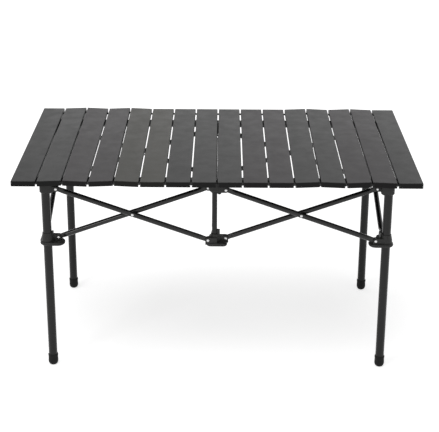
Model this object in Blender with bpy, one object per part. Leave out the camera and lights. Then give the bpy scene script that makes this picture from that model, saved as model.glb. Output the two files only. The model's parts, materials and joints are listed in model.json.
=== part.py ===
"""Folding table with a roll-up slatted top on a scissor frame, in metres.

+Z is up, +X runs along the length and the front is at -Y. The origin is on the floor, under the
middle of the top. Pieces of one moving body hang on an empty that sits on that body's joint axis.
"""

import math

import bmesh
import bpy
from mathutils import Matrix, Vector

# Roll-up top
TOP_LENGTH = 0.950
TOP_DEPTH = 0.550
TOP_HEIGHT = 0.510
SLAT_COUNT = 16
SLAT_GAP = 0.0034
SLAT_THICKNESS = 0.012
SLAT_SHEET = 0.0012
RIDGE_RISE = 0.0025
RIDGE_GAPS = (2, 4, 12, 14)

# Elastic cords through the slats
CORD_RADIUS = 0.0015
CORD_INSET = 0.024
CORD_HOLE_SLACK = 0.0008
KNOT_SWELL = 2.2
KNOT_LENGTH = 0.005

# Rails under the top
RAIL_RADIUS = 0.0075
RAIL_WALL = 0.0012
RAIL_PAST_LEG = 0.050
FERRULE_LENGTH = 0.060
FERRULE_WALL = 0.0012

# Legs, feet and centre posts
LEG_RADIUS = 0.0095
LEG_WALL = 0.0012
FOOT_WALL = 0.0017
FOOT_FLOOR = 0.006
FOOT_HEIGHT = 0.029
FOOT_PAD_RADIUS = 0.0055
FOOT_TOE_INSET = 0.0018
FOOT_TOE_RISE = 0.003
POST_RADIUS = 0.00625
POST_WALL = 0.0010
POST_SIDE_STEP = 0.0055

# Scissor frame: the pin span is the same along X and along Y, so that all bays fold together
SCISSOR_SPAN = 0.358
SCISSOR_RISE = 0.129
PIN_REACH_X = 0.021
PIN_REACH_CORNER = 0.026
PIN_REACH_Y = 0.035
PIN_UNDER_RAIL = 0.0192
PIN_RADIUS = 0.0025
PIN_PROUD = 0.0005
BRACE_RADIUS = 0.00635
TONGUE_THICKNESS = 0.006
TONGUE_HALF = 0.006
TONGUE_LENGTH = 0.011
TONGUE_FLARE = 0.010
TONGUE_PRESS = 1.7
TONGUE_TIP_DEGREES = 60

# Moulded hubs
EAR_RADIUS = 0.008
EAR_THICKNESS = 0.003
HUB_HALF_X = 0.019
HUB_OUTBOARD = 0.0155
HUB_HALF_Y = 0.0155
HUB_CORNER = 0.008
HUB_WEB = 0.003
SOCKET_WALL = 0.003
FLANGE_THICKNESS = 0.008
FLANGE_DROP = 0.0008
FLANGE_HALF_Y = 0.0195
FLANGE_END_CORNER = 0.016
FLANGE_OUTBOARD = 0.0175
FLANGE_PAST_PIN = 0.016
FLANGE_CENTRE_HALF = 0.026
FLANGE_CENTRE_HALF_Y = 0.017
FLANGE_CENTRE_CORNER = 0.010
FLANGE_ARM_HALF = 0.013
FLANGE_ARM_PAST_PIN = 0.014
COLLAR_RADIUS = 0.0135
COLLAR_RISE = 0.026
POST_SOCKET_RISE = 0.014
STUB_WIDTH = 0.0065
STUB_RISE = 0.024

# Clearances: pieces that rest on each other, and pieces that turn or slide
CLEARANCE = 0.0003
RUNNING = 0.0004

# Sides of the round shapes
TUBE_SIDES = 12
ROD_SIDES = 8
PIN_SIDES = 8
CORD_HOLE_SIDES = 6
FOOT_SIDES = 12
ARC_STEPS = 3

# Sizes that follow from the ones above
LEG_X = SCISSOR_SPAN + PIN_REACH_X + PIN_REACH_CORNER
LEG_Y = SCISSOR_SPAN / 2 + PIN_REACH_Y
SLAT_WIDTH = (TOP_LENGTH - (SLAT_COUNT - 1) * SLAT_GAP) / SLAT_COUNT
SLAT_PITCH = SLAT_WIDTH + SLAT_GAP
FIXED_SLAT = SLAT_COUNT // 2 + 1
RAIL_Z = TOP_HEIGHT - SLAT_THICKNESS - CLEARANCE - RAIL_RADIUS
RAIL_HALF = LEG_X + RAIL_PAST_LEG
UPPER_PIN_Z = RAIL_Z - PIN_UNDER_RAIL
LOWER_PIN_Z = UPPER_PIN_Z - SCISSOR_RISE
BRACE_STEP = BRACE_RADIUS + CLEARANCE / 2
HOLE_RADIUS = PIN_RADIUS + RUNNING
SLOT_HALF = TONGUE_THICKNESS / 2 + RUNNING
ARM_HALF = SLOT_HALF + EAR_THICKNESS
SLOT_START = TONGUE_HALF + RUNNING
UPPER_HUB_BOTTOM = UPPER_PIN_Z - EAR_RADIUS
TUBE_TOP = RAIL_Z - RAIL_RADIUS - CLEARANCE - HUB_WEB - CLEARANCE
FLANGE_TOP = LOWER_PIN_Z - TONGUE_HALF - FLANGE_DROP
FLANGE_BOTTOM = FLANGE_TOP - FLANGE_THICKNESS
CORD_Y = TOP_DEPTH / 2 - CORD_INSET
CORD_HOLE = CORD_RADIUS + CORD_HOLE_SLACK

SMOOTH_DEGREES = 32

SIDES = {"left": -1, "right": 1}
ROWS = {"front": -1, "back": 1}

# Colour, roughness and metallic value of each finish
FINISHES = {
    "slat_paint": ((0.115, 0.113, 0.110), 0.55, 0.0),
    "tube_paint": ((0.022, 0.022, 0.021), 0.32, 0.0),
    "hub_plastic": ((0.018, 0.018, 0.018), 0.50, 0.0),
    "foot_rubber": ((0.012, 0.012, 0.012), 0.75, 0.0),
    "brace_paint": ((0.024, 0.024, 0.023), 0.30, 0.0),
    "rail_paint": ((0.020, 0.020, 0.020), 0.35, 0.0),
    "ferrule_steel": ((0.45, 0.45, 0.46), 0.35, 1.0),
    "cord_elastic": ((0.015, 0.015, 0.015), 0.80, 0.0),
}

EMPTIES = {}


def clear_scene():
    """Remove every object of the open scene."""
    for item in list(bpy.data.objects):
        bpy.data.objects.remove(item, do_unlink=True)


def make_material(node_name, finish):
    """Give one piece its own painted, moulded or metal surface."""
    colour, roughness, metallic = FINISHES[finish]
    material = bpy.data.materials.new(node_name)
    material.use_nodes = True
    shader = material.node_tree.nodes["Principled BSDF"]
    shader.inputs["Base Color"].default_value = (*colour, 1.0)
    shader.inputs["Roughness"].default_value = roughness
    shader.inputs["Metallic"].default_value = metallic
    return material


def add_body(body, pivot, parent=None):
    """Add the empty of a moving body, on its joint axis."""
    empty = bpy.data.objects.new(f"axis_{body}", None)
    empty.empty_display_size = 0.02
    bpy.context.collection.objects.link(empty)
    pivot = Vector(pivot)
    empty["pivot"] = pivot
    if parent:
        empty.parent = EMPTIES[parent]
        pivot = pivot - Vector(EMPTIES[parent]["pivot"])
    empty.location = pivot
    EMPTIES[body] = empty


def new_object(name, bm, body):
    """Turn a mesh made in world coordinates into an object that hangs on its body's empty."""
    bmesh.ops.recalc_face_normals(bm, faces=bm.faces)
    mesh = bpy.data.meshes.new(name)
    bm.to_mesh(mesh)
    bm.free()
    mesh.transform(Matrix.Translation(-Vector(EMPTIES[body]["pivot"])))
    mesh.shade_smooth()
    mesh.set_sharp_from_angle(angle=math.radians(SMOOTH_DEGREES))
    item = bpy.data.objects.new(name, mesh)
    bpy.context.collection.objects.link(item)
    item.parent = EMPTIES[body]
    return item


def add_piece(name, bm, body, finish):
    """Add a visible piece with its own material."""
    piece = new_object(name, bm, body)
    piece.data.materials.append(make_material(name, finish))
    return piece


def shape_with(piece, tool_bm, body, operation):
    """Join a hidden tool shape to a piece, or cut it out of the piece."""
    tool = new_object(f"{piece.name}_tool_{len(piece.modifiers)}", tool_bm, body)
    tool.hide_render = True
    tool.display_type = "WIRE"
    step = piece.modifiers.new(operation.lower(), "BOOLEAN")
    step.operation = operation
    step.solver = "EXACT"
    step.object = tool


def loft(sections):
    """Join rings of points, one after another, into a closed solid with flat ends."""
    bm = bmesh.new()
    rings = [[bm.verts.new(point) for point in ring] for ring in sections]
    count = len(rings[0])
    for lower, upper in zip(rings, rings[1:]):
        for index in range(count):
            after = (index + 1) % count
            bm.faces.new((lower[index], lower[after], upper[after], upper[index]))
    bm.faces.new(rings[0])
    bm.faces.new(rings[-1])
    return bm


def prism(outline, low, high, axis="Z"):
    """Extrude a flat outline along X, Y or Z between two levels."""
    places = {
        "X": lambda u, v, w: (w, u, v),
        "Y": lambda u, v, w: (u, w, v),
        "Z": lambda u, v, w: (u, v, w),
    }
    return loft([[places[axis](u, v, level) for u, v in outline] for level in (low, high)])


def ring_points(centre, direction, radius, sides):
    """Return the points of a circle round an axis, with one point straight up or outward."""
    axis = Vector(direction).normalized()
    up = Vector((0, 0, 1)) if abs(axis.z) < 0.9 else Vector((1, 0, 0))
    up = (up - axis * up.dot(axis)).normalized()
    side = axis.cross(up)
    turns = [2 * math.pi * index / sides for index in range(sides)]
    return [Vector(centre) + radius * (math.cos(turn) * up + math.sin(turn) * side) for turn in turns]


def rod(start, end, radius, sides):
    """Make a solid round bar between two points."""
    start, end = Vector(start), Vector(end)
    return loft([ring_points(point, end - start, radius, sides) for point in (start, end)])


def tube(start, end, radius, wall, sides):
    """Make a round tube, open at both ends."""
    start, end = Vector(start), Vector(end)
    direction = end - start
    bm = bmesh.new()
    loops = []
    for point, size in ((start, radius), (end, radius), (end, radius - wall), (start, radius - wall)):
        loops.append([bm.verts.new(co) for co in ring_points(point, direction, size, sides)])
    for index in range(4):
        lower, upper = loops[index], loops[(index + 1) % 4]
        for corner in range(sides):
            after = (corner + 1) % sides
            bm.faces.new((lower[corner], lower[after], upper[after], upper[corner]))
    return bm


def turned(profile, centre, sides):
    """Spin a profile of radius and height points round a vertical axis."""
    bm = bmesh.new()
    verts = [bm.verts.new((centre[0] + radius, centre[1], z)) for radius, z in profile]
    edges = [bm.edges.new(pair) for pair in zip(verts, verts[1:])]
    bmesh.ops.spin(
        bm, geom=verts + edges, cent=(centre[0], centre[1], 0), axis=(0, 0, 1),
        angle=2 * math.pi, steps=sides, use_merge=True,
    )
    bmesh.ops.remove_doubles(bm, verts=bm.verts, dist=0.00001)
    return bm


def box(low, high):
    """Make a box between two corners."""
    outline = [(low[0], low[1]), (high[0], low[1]), (high[0], high[1]), (low[0], high[1])]
    return prism(outline, low[2], high[2])


def rounded_outline(low, high, corner):
    """Return a rectangle with round corners, as a list of points."""
    points = []
    for sign_x, sign_y, start in ((1, 1, 0), (-1, 1, 90), (-1, -1, 180), (1, -1, 270)):
        x = high[0] - corner if sign_x > 0 else low[0] + corner
        y = high[1] - corner if sign_y > 0 else low[1] + corner
        for step in range(ARC_STEPS + 1):
            turn = math.radians(start + 90 * step / ARC_STEPS)
            points.append((x + corner * math.cos(turn), y + corner * math.sin(turn)))
    return points


def arm_box(hub, direction, side, reach, half, z_low, z_high, start=0.0):
    """Return the two corners of a box that runs from a hub's axis along one arm."""
    along = Vector((direction[0], direction[1], 0))
    across = Vector((abs(direction[1]), abs(direction[0]), 0))
    middle = Vector((hub[0], hub[1], 0)) + across * side
    corners = [middle + along * start - across * half, middle + along * reach + across * half]
    low = [min(corners[0][axis], corners[1][axis]) for axis in (0, 1)]
    high = [max(corners[0][axis], corners[1][axis]) for axis in (0, 1)]
    return (*low, z_low), (*high, z_high)


def arm_ear(hub, direction, side, reach, pin_z, foot_z):
    """Make an arm whose outer end is round about its pin and whose foot is flat."""
    half_turn = [math.radians(90 - 180 * step / (2 * ARC_STEPS)) for step in range(2 * ARC_STEPS + 1)]
    outline = []
    for turn in half_turn:
        outline.append((reach + EAR_RADIUS * math.cos(turn), pin_z + EAR_RADIUS * math.sin(turn)))
    if foot_z < pin_z - EAR_RADIUS:
        outline = outline[:ARC_STEPS + 1] + [(reach + EAR_RADIUS, foot_z)]
    outline += [(0, min(foot_z, pin_z - EAR_RADIUS)), (0, pin_z + EAR_RADIUS)]
    sign = direction[0] + direction[1]
    if direction[0]:
        outline = [(hub[0] + sign * u, z) for u, z in outline]
        return prism(outline, hub[1] + side - ARM_HALF, hub[1] + side + ARM_HALF, "Y")
    outline = [(hub[1] + sign * u, z) for u, z in outline]
    return prism(outline, hub[0] + side - ARM_HALF, hub[0] + side + ARM_HALF, "X")


def arm_pin_hole(hub, direction, side, reach, pin_z):
    """Make the round hole of an arm's two ears."""
    along = Vector((direction[0], direction[1], 0))
    across = Vector((abs(direction[1]), abs(direction[0]), 0))
    centre = Vector((hub[0], hub[1], pin_z)) + along * reach + across * side
    half = 2 * ARM_HALF
    return rod(centre - across * half, centre + across * half, HOLE_RADIUS, PIN_SIDES)


def hub_arms(column, row, upper):
    """List the arms of a hub as direction, sideways step and pin reach."""
    step = BRACE_STEP if upper else -BRACE_STEP
    if column == 0:
        arms = [((sign, 0), -sign * step, PIN_REACH_X) for sign in (-1, 1)]
    else:
        arms = [((-column, 0), column * step, PIN_REACH_CORNER)]
    arms.append(((0, -row), -row * step, PIN_REACH_Y))
    return arms


def make_upper_hub(name, body, column, row):
    """Make the moulding that holds a tube's top end, cradles the rail and carries the braces."""
    hub = (column * LEG_X, row * LEG_Y)
    outboard = column * HUB_OUTBOARD if column else HUB_HALF_X
    inboard = -column * HUB_HALF_X if column else -HUB_HALF_X
    ends = sorted((hub[0] + outboard, hub[0] + inboard))
    low, high = (ends[0], hub[1] - HUB_HALF_Y), (ends[1], hub[1] + HUB_HALF_Y)
    outline = rounded_outline(low, high, HUB_CORNER)
    piece = add_piece(name, prism(outline, UPPER_HUB_BOTTOM, RAIL_Z), body, "hub_plastic")
    arms = hub_arms(column, row, True)
    for direction, side, reach in arms:
        ear = arm_ear(hub, direction, side, reach, UPPER_PIN_Z, UPPER_HUB_BOTTOM)
        shape_with(piece, ear, body, "UNION")
    margin = EAR_RADIUS
    for direction, side, reach in arms:
        slot = arm_box(
            hub, direction, side, reach + EAR_RADIUS + margin, SLOT_HALF,
            UPPER_HUB_BOTTOM - margin, UPPER_PIN_Z + SLOT_START, reach - SLOT_START,
        )
        shape_with(piece, box(*slot), body, "DIFFERENCE")
        shape_with(piece, arm_pin_hole(hub, direction, side, reach, UPPER_PIN_Z), body, "DIFFERENCE")
    trough = [(hub[0] + sign * (HUB_HALF_X + margin), hub[1], RAIL_Z) for sign in (-1, 1)]
    shape_with(piece, rod(*trough, RAIL_RADIUS + CLEARANCE, TUBE_SIDES), body, "DIFFERENCE")
    if column == 0:
        axis_x, radius = hub[0] + row * POST_SIDE_STEP, POST_RADIUS
    else:
        axis_x, radius = hub[0], LEG_RADIUS
    bore = [(axis_x, hub[1], UPPER_HUB_BOTTOM - margin), (axis_x, hub[1], TUBE_TOP + CLEARANCE)]
    shape_with(piece, rod(*bore, radius + CLEARANCE, TUBE_SIDES), body, "DIFFERENCE")


def flange_shapes(hub, column, row, arms):
    """Return the plan outlines of a lower hub's flange, one along X and one along its side arm."""
    if column == 0:
        low = (hub[0] - FLANGE_CENTRE_HALF, hub[1] - FLANGE_CENTRE_HALF_Y)
        high = (hub[0] + FLANGE_CENTRE_HALF, hub[1] + FLANGE_CENTRE_HALF_Y)
        along = rounded_outline(low, high, FLANGE_CENTRE_CORNER)
    else:
        inboard = PIN_REACH_CORNER + FLANGE_PAST_PIN
        ends = sorted((hub[0] + column * FLANGE_OUTBOARD, hub[0] - column * inboard))
        low, high = (ends[0], hub[1] - FLANGE_HALF_Y), (ends[1], hub[1] + FLANGE_HALF_Y)
        along = rounded_outline(low, high, FLANGE_END_CORNER)
    side = arms[-1][1]
    ends = sorted((hub[1], hub[1] - row * (PIN_REACH_Y + FLANGE_ARM_PAST_PIN)))
    low, high = (hub[0] + side - FLANGE_ARM_HALF, ends[0]), (hub[0] + side + FLANGE_ARM_HALF, ends[1])
    return along, rounded_outline(low, high, FLANGE_CENTRE_CORNER)


def make_lower_hub(name, body, column, row):
    """Make the moulding that slides on a leg, or seats a centre post, and carries the braces."""
    hub = (column * LEG_X, row * LEG_Y)
    arms = hub_arms(column, row, False)
    along, across = flange_shapes(hub, column, row, arms)
    piece = add_piece(name, prism(along, FLANGE_BOTTOM, FLANGE_TOP), body, "hub_plastic")
    shape_with(piece, prism(across, FLANGE_BOTTOM, FLANGE_TOP), body, "UNION")
    root_z = (FLANGE_BOTTOM + FLANGE_TOP) / 2
    for direction, side, reach in arms:
        ear = arm_ear(hub, direction, side, reach, LOWER_PIN_Z, root_z)
        shape_with(piece, ear, body, "UNION")
    if column == 0:
        axis_x, radius = hub[0] + row * POST_SIDE_STEP, POST_RADIUS
        outer, rise, bore_low = POST_RADIUS + SOCKET_WALL, POST_SOCKET_RISE, FLANGE_TOP
    else:
        axis_x, radius = hub[0], LEG_RADIUS
        outer, rise, bore_low = COLLAR_RADIUS, COLLAR_RISE, FLANGE_BOTTOM - EAR_RADIUS
    collar = rod((axis_x, hub[1], root_z), (axis_x, hub[1], LOWER_PIN_Z + rise), outer, TUBE_SIDES)
    shape_with(piece, collar, body, "UNION")
    if column == 0:
        stub_x = axis_x - row * (radius + STUB_WIDTH / 2)
        stub_low = (stub_x - STUB_WIDTH / 2, hub[1] - STUB_WIDTH / 2, root_z)
        stub_high = (stub_x + STUB_WIDTH / 2, hub[1] + STUB_WIDTH / 2, LOWER_PIN_Z + STUB_RISE)
        shape_with(piece, box(stub_low, stub_high), body, "UNION")
    margin = EAR_RADIUS
    for direction, side, reach in arms:
        slot = arm_box(
            hub, direction, side, reach + EAR_RADIUS + margin, SLOT_HALF,
            FLANGE_TOP, LOWER_PIN_Z + COLLAR_RISE + margin, reach - SLOT_START,
        )
        shape_with(piece, box(*slot), body, "DIFFERENCE")
        shape_with(piece, arm_pin_hole(hub, direction, side, reach, LOWER_PIN_Z), body, "DIFFERENCE")
    bore = [(axis_x, hub[1], bore_low), (axis_x, hub[1], LOWER_PIN_Z + COLLAR_RISE + margin)]
    shape_with(piece, rod(*bore, radius + CLEARANCE, TUBE_SIDES), body, "DIFFERENCE")


def brace_section(centre, along, side, half_height, half_thickness):
    """Return one ring of a brace, round or pressed flat."""
    up = along.cross(side)
    flat = 1.0 if half_height <= half_thickness else TONGUE_PRESS
    points = []
    for index in range(ROD_SIDES):
        turn = 2 * math.pi * (index + 0.5) / ROD_SIDES
        press = max(-1.0, min(1.0, flat * math.sin(turn)))
        points.append(centre + up * half_height * math.cos(turn) + side * half_thickness * press)
    return points


def brace_shape(start, end, side):
    """Make a round bar between two pins, with its ends pressed to flat, rounded tongues."""
    start, end = Vector(start), Vector(end)
    along = (end - start).normalized()
    half = TONGUE_THICKNESS / 2
    tip = math.radians(TONGUE_TIP_DEGREES)
    places = [
        (-TONGUE_HALF * math.sin(tip), TONGUE_HALF * math.cos(tip), half),
        (0.0, TONGUE_HALF, half),
        (TONGUE_LENGTH, TONGUE_HALF, half),
        (TONGUE_LENGTH + TONGUE_FLARE, BRACE_RADIUS, BRACE_RADIUS),
    ]
    sections = [brace_section(start + along * s, along, side, h, t) for s, h, t in places]
    sections += [brace_section(end - along * s, along, side, h, t) for s, h, t in reversed(places)]
    return loft(sections)


def make_brace(name, body, start, end, side, crossing):
    """Make a brace with its two end pins, and a crossing pin or the hole for one."""
    side = Vector(side)
    piece = add_piece(name, brace_shape(start, end, side), body, "brace_paint")
    half_pin = ARM_HALF + PIN_PROUD
    for point in (Vector(start), Vector(end)):
        pin = rod(point - side * half_pin, point + side * half_pin, PIN_RADIUS, PIN_SIDES)
        shape_with(piece, pin, body, "UNION")
    middle = (Vector(start) + Vector(end)) / 2
    outer = BRACE_RADIUS + PIN_PROUD
    if crossing == "pin":
        pin = rod(middle + side * outer, middle - side * (2 * BRACE_STEP + outer), PIN_RADIUS, PIN_SIDES)
        shape_with(piece, pin, body, "UNION")
    else:
        hole = rod(middle - side * 2 * outer, middle + side * 2 * outer, HOLE_RADIUS, PIN_SIDES)
        shape_with(piece, hole, body, "DIFFERENCE")


def make_length_braces(row_name, side_name):
    """Make the crossed pair between a leg and the centre, along X."""
    row, column = ROWS[row_name], SIDES[side_name]
    outer_x, inner_x = column * (LEG_X - PIN_REACH_CORNER), column * PIN_REACH_X
    high_y = row * LEG_Y + column * BRACE_STEP
    low_y = row * LEG_Y - column * BRACE_STEP
    name = f"{row_name}_{side_name}_brace"
    high = ((outer_x, high_y, UPPER_PIN_Z), (inner_x, high_y, LOWER_PIN_Z))
    low = ((outer_x, low_y, LOWER_PIN_Z), (inner_x, low_y, UPPER_PIN_Z))
    make_brace(f"{name}_high", f"{name}_high", *high, (0, column, 0), "pin")
    make_brace(f"{name}_low", f"{name}_low", *low, (0, column, 0), "hole")


def make_depth_braces(place, x):
    """Make the crossed pair between the front and the back, along Y."""
    pin_y = LEG_Y - PIN_REACH_Y
    name = f"{place}_side_brace"
    front_high = ((x + BRACE_STEP, -pin_y, UPPER_PIN_Z), (x + BRACE_STEP, pin_y, LOWER_PIN_Z))
    back_high = ((x - BRACE_STEP, -pin_y, LOWER_PIN_Z), (x - BRACE_STEP, pin_y, UPPER_PIN_Z))
    make_brace(f"{name}_front_high", f"{name}_front_high", *front_high, (1, 0, 0), "pin")
    make_brace(f"{name}_back_high", f"{name}_back_high", *back_high, (1, 0, 0), "hole")


def make_leg(row_name, side_name):
    """Make a leg tube with its rubber foot and its upper hub."""
    row, column = ROWS[row_name], SIDES[side_name]
    name = f"{row_name}_{side_name}"
    body = f"{name}_leg"
    x, y = column * LEG_X, row * LEG_Y
    leg = tube((x, y, FOOT_FLOOR + CLEARANCE), (x, y, TUBE_TOP), LEG_RADIUS, LEG_WALL, TUBE_SIDES)
    add_piece(f"{name}_leg", leg, body, "tube_paint")
    bore = LEG_RADIUS + CLEARANCE
    outer = bore + FOOT_WALL
    profile = [
        (0, 0),
        (FOOT_PAD_RADIUS, 0),
        (outer - FOOT_TOE_INSET, FOOT_TOE_RISE),
        (outer, FOOT_TOE_RISE + FOOT_FLOOR),
        (outer, FOOT_HEIGHT - FOOT_WALL),
        (outer - FOOT_WALL / 2, FOOT_HEIGHT),
        (bore, FOOT_HEIGHT),
        (bore, FOOT_FLOOR),
        (0, FOOT_FLOOR),
    ]
    add_piece(f"{name}_foot", turned(profile, (x, y), FOOT_SIDES), body, "foot_rubber")
    make_upper_hub(f"{name}_upper_hub", body, column, row)


def make_centre_post(row_name):
    """Make a centre post with its upper hub; its lower end seats in the lower hub."""
    row = ROWS[row_name]
    body = f"{row_name}_centre"
    x, y = row * POST_SIDE_STEP, row * LEG_Y
    post = tube((x, y, FLANGE_TOP + CLEARANCE), (x, y, TUBE_TOP), POST_RADIUS, POST_WALL, TUBE_SIDES)
    add_piece(f"{body}_post", post, body, "tube_paint")
    make_upper_hub(f"{body}_upper_hub", body, 0, row)


def make_rail(row_name):
    """Make a rail in two halves on one inner ferrule."""
    body = f"{row_name}_rail"
    y = ROWS[row_name] * LEG_Y
    for side_name, column in SIDES.items():
        inner, outer = column * CLEARANCE / 2, column * RAIL_HALF
        half = tube((inner, y, RAIL_Z), (outer, y, RAIL_Z), RAIL_RADIUS, RAIL_WALL, TUBE_SIDES)
        add_piece(f"{row_name}_rail_{side_name}", half, body, "rail_paint")
    ends = [(sign * FERRULE_LENGTH / 2, y, RAIL_Z) for sign in (-1, 1)]
    radius = RAIL_RADIUS - RAIL_WALL - CLEARANCE
    ferrule = tube(*ends, radius, FERRULE_WALL, TUBE_SIDES)
    add_piece(f"{row_name}_rail_ferrule", ferrule, body, "ferrule_steel")


def gap_point(gap):
    """Return the place, in X and Z, of the top edge line at one gap between slats."""
    x = (gap - SLAT_COUNT / 2) * SLAT_PITCH
    rise = RIDGE_RISE if gap in RIDGE_GAPS else 0.0
    return Vector((x, 0, TOP_HEIGHT + rise))


def slat_axes(number):
    """Return a slat's top middle point, its direction across and its upward normal."""
    low, high = gap_point(number - 1), gap_point(number)
    across = (high - low).normalized()
    return (low + high) / 2, across, across.cross(Vector((0, 1, 0)))


def make_slat(number):
    """Make one slat: a sheet tray, open below, with holes for the cords in its long sides."""
    name = f"slat_{number:02d}"
    middle, across, normal = slat_axes(number)
    half_depth, half_width = TOP_DEPTH / 2, SLAT_WIDTH / 2

    def corner(u, y, depth):
        place = middle + across * u - normal * depth
        return place.x, y, place.z

    def block(inset, top, bottom):
        signs = ((-1, -1), (1, -1), (1, 1), (-1, 1))
        rings = []
        for depth in (bottom, top):
            places = [(u * (half_width - inset), v * (half_depth - inset)) for u, v in signs]
            rings.append([corner(u, v, depth) for u, v in places])
        return loft(rings)

    piece = add_piece(name, block(0, 0, SLAT_THICKNESS), name, "slat_paint")
    hollow = block(SLAT_SHEET, SLAT_SHEET, SLAT_THICKNESS + SLAT_SHEET)
    shape_with(piece, hollow, name, "DIFFERENCE")
    sides = [sign for sign in (-1, 1) if 0 < number + (sign - 1) / 2 < SLAT_COUNT]
    for y in (-CORD_Y, CORD_Y):
        for sign in sides:
            reach = [corner(sign * (half_width - 2 * SLAT_SHEET), y, SLAT_THICKNESS / 2)]
            reach.append(corner(sign * (half_width + SLAT_SHEET), y, SLAT_THICKNESS / 2))
            shape_with(piece, rod(*reach, CORD_HOLE, CORD_HOLE_SIDES), name, "DIFFERENCE")


def make_cord(row_name):
    """Make an elastic cord that runs through every slat, with a knot inside each end slat."""
    y = ROWS[row_name] * CORD_Y
    drop = Vector((0, 0, -SLAT_THICKNESS / 2))
    points = [gap_point(gap) + drop for gap in range(1, SLAT_COUNT)]
    skirt = SLAT_GAP / 2 + SLAT_SHEET
    beads = []
    for sign, end in ((-1, points[0]), (1, points[-1])):
        first = end + Vector((sign * (skirt + CLEARANCE), 0, 0))
        beads.append([(first, 1.0), (first + Vector((sign * CLEARANCE, 0, 0)), KNOT_SWELL)])
        beads[-1].append((first + Vector((sign * KNOT_LENGTH, 0, 0)), KNOT_SWELL))
    route = list(reversed(beads[0])) + [(point, 1.0) for point in points] + beads[1]
    curve = bpy.data.curves.new(f"{row_name}_elastic_cord", "CURVE")
    curve.dimensions = "3D"
    curve.bevel_depth = CORD_RADIUS
    curve.bevel_resolution = 2
    curve.use_fill_caps = True
    spline = curve.splines.new("POLY")
    spline.points.add(len(route) - 1)
    body = f"slat_{FIXED_SLAT:02d}"
    pivot = Vector(EMPTIES[body]["pivot"])
    for place, (point, swell) in zip(spline.points, route):
        local = point - pivot
        place.co = (local.x, y - pivot.y, local.z, 1.0)
        place.radius = swell
    cord = bpy.data.objects.new(f"{row_name}_elastic_cord", curve)
    bpy.context.collection.objects.link(cord)
    cord.parent = EMPTIES[body]
    curve.materials.append(make_material(cord.name, "cord_elastic"))


def add_bay_bodies(row_name, side_name, centre):
    """Add the bodies of one lengthwise bay, from the centre post outward."""
    row, column = ROWS[row_name], SIDES[side_name]
    name = f"{row_name}_{side_name}"
    y = row * LEG_Y
    inner, outer = column * PIN_REACH_X, column * (LEG_X - PIN_REACH_CORNER)
    middle_z = (UPPER_PIN_Z + LOWER_PIN_Z) / 2
    add_body(f"{name}_brace_low", (inner, y, UPPER_PIN_Z), centre)
    add_body(f"{name}_brace_high", ((inner + outer) / 2, y, middle_z), f"{name}_brace_low")
    add_body(f"{name}_leg", (outer, y, UPPER_PIN_Z), f"{name}_brace_high")
    add_body(f"{name}_lower_hub", (outer, y, LOWER_PIN_Z), f"{name}_brace_low")


def add_depth_bodies(place, x, holder):
    """Add the two crossed bodies of one bay between front and back."""
    middle_z = (UPPER_PIN_Z + LOWER_PIN_Z) / 2
    name = f"{place}_side_brace"
    add_body(f"{name}_front_high", (x, -(LEG_Y - PIN_REACH_Y), UPPER_PIN_Z), holder)
    add_body(f"{name}_back_high", (x, 0, middle_z), f"{name}_front_high")


def add_frame_bodies():
    """Add the empties of the scissor frame; each one turns about its own pin."""
    pin_y = LEG_Y - PIN_REACH_Y
    add_body("front_centre", (0, -LEG_Y, UPPER_PIN_Z))
    for side_name in SIDES:
        add_bay_bodies("front", side_name, "front_centre")
    add_body("front_centre_lower_hub", (-PIN_REACH_X, -LEG_Y, LOWER_PIN_Z), "front_left_brace_high")
    add_depth_bodies("centre", 0, "front_centre")
    add_body("back_centre", (0, pin_y, UPPER_PIN_Z), "centre_side_brace_back_high")
    add_body("back_centre_lower_hub", (0, pin_y, LOWER_PIN_Z), "centre_side_brace_front_high")
    for side_name, column in SIDES.items():
        add_bay_bodies("back", side_name, "back_centre")
        add_depth_bodies(side_name, column * LEG_X, f"front_{side_name}_leg")


def add_top_bodies():
    """Add the empties of the rails and slats; from the fixed slat outward, each turns about a gap."""
    add_body("front_rail", (0, -LEG_Y, RAIL_Z), "front_centre")
    add_body("back_rail", (0, LEG_Y, RAIL_Z), "back_centre")
    add_body(f"slat_{FIXED_SLAT:02d}", slat_axes(FIXED_SLAT)[0], "front_centre")
    for number in range(FIXED_SLAT - 1, 0, -1):
        add_body(f"slat_{number:02d}", gap_point(number), f"slat_{number + 1:02d}")
    for number in range(FIXED_SLAT + 1, SLAT_COUNT + 1):
        add_body(f"slat_{number:02d}", gap_point(number - 1), f"slat_{number - 1:02d}")


def build_table():
    """Make every piece of the table."""
    clear_scene()
    add_frame_bodies()
    add_top_bodies()
    for row_name, row in ROWS.items():
        make_centre_post(row_name)
        make_lower_hub(f"{row_name}_centre_lower_hub", f"{row_name}_centre_lower_hub", 0, row)
        for side_name, column in SIDES.items():
            make_leg(row_name, side_name)
            hub = f"{row_name}_{side_name}_lower_hub"
            make_lower_hub(hub, hub, column, row)
            make_length_braces(row_name, side_name)
        make_rail(row_name)
    for place, x in (("left", -LEG_X), ("centre", 0), ("right", LEG_X)):
        make_depth_braces(place, x)
    for number in range(1, SLAT_COUNT + 1):
        make_slat(number)
    for row_name in ROWS:
        make_cord(row_name)


build_table()
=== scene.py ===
"""Looks of the folding garden table: smooth pieces, finishes, floor, light and camera."""

import json
import math

import bmesh
import bpy
from mathutils import Matrix, Vector

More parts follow.
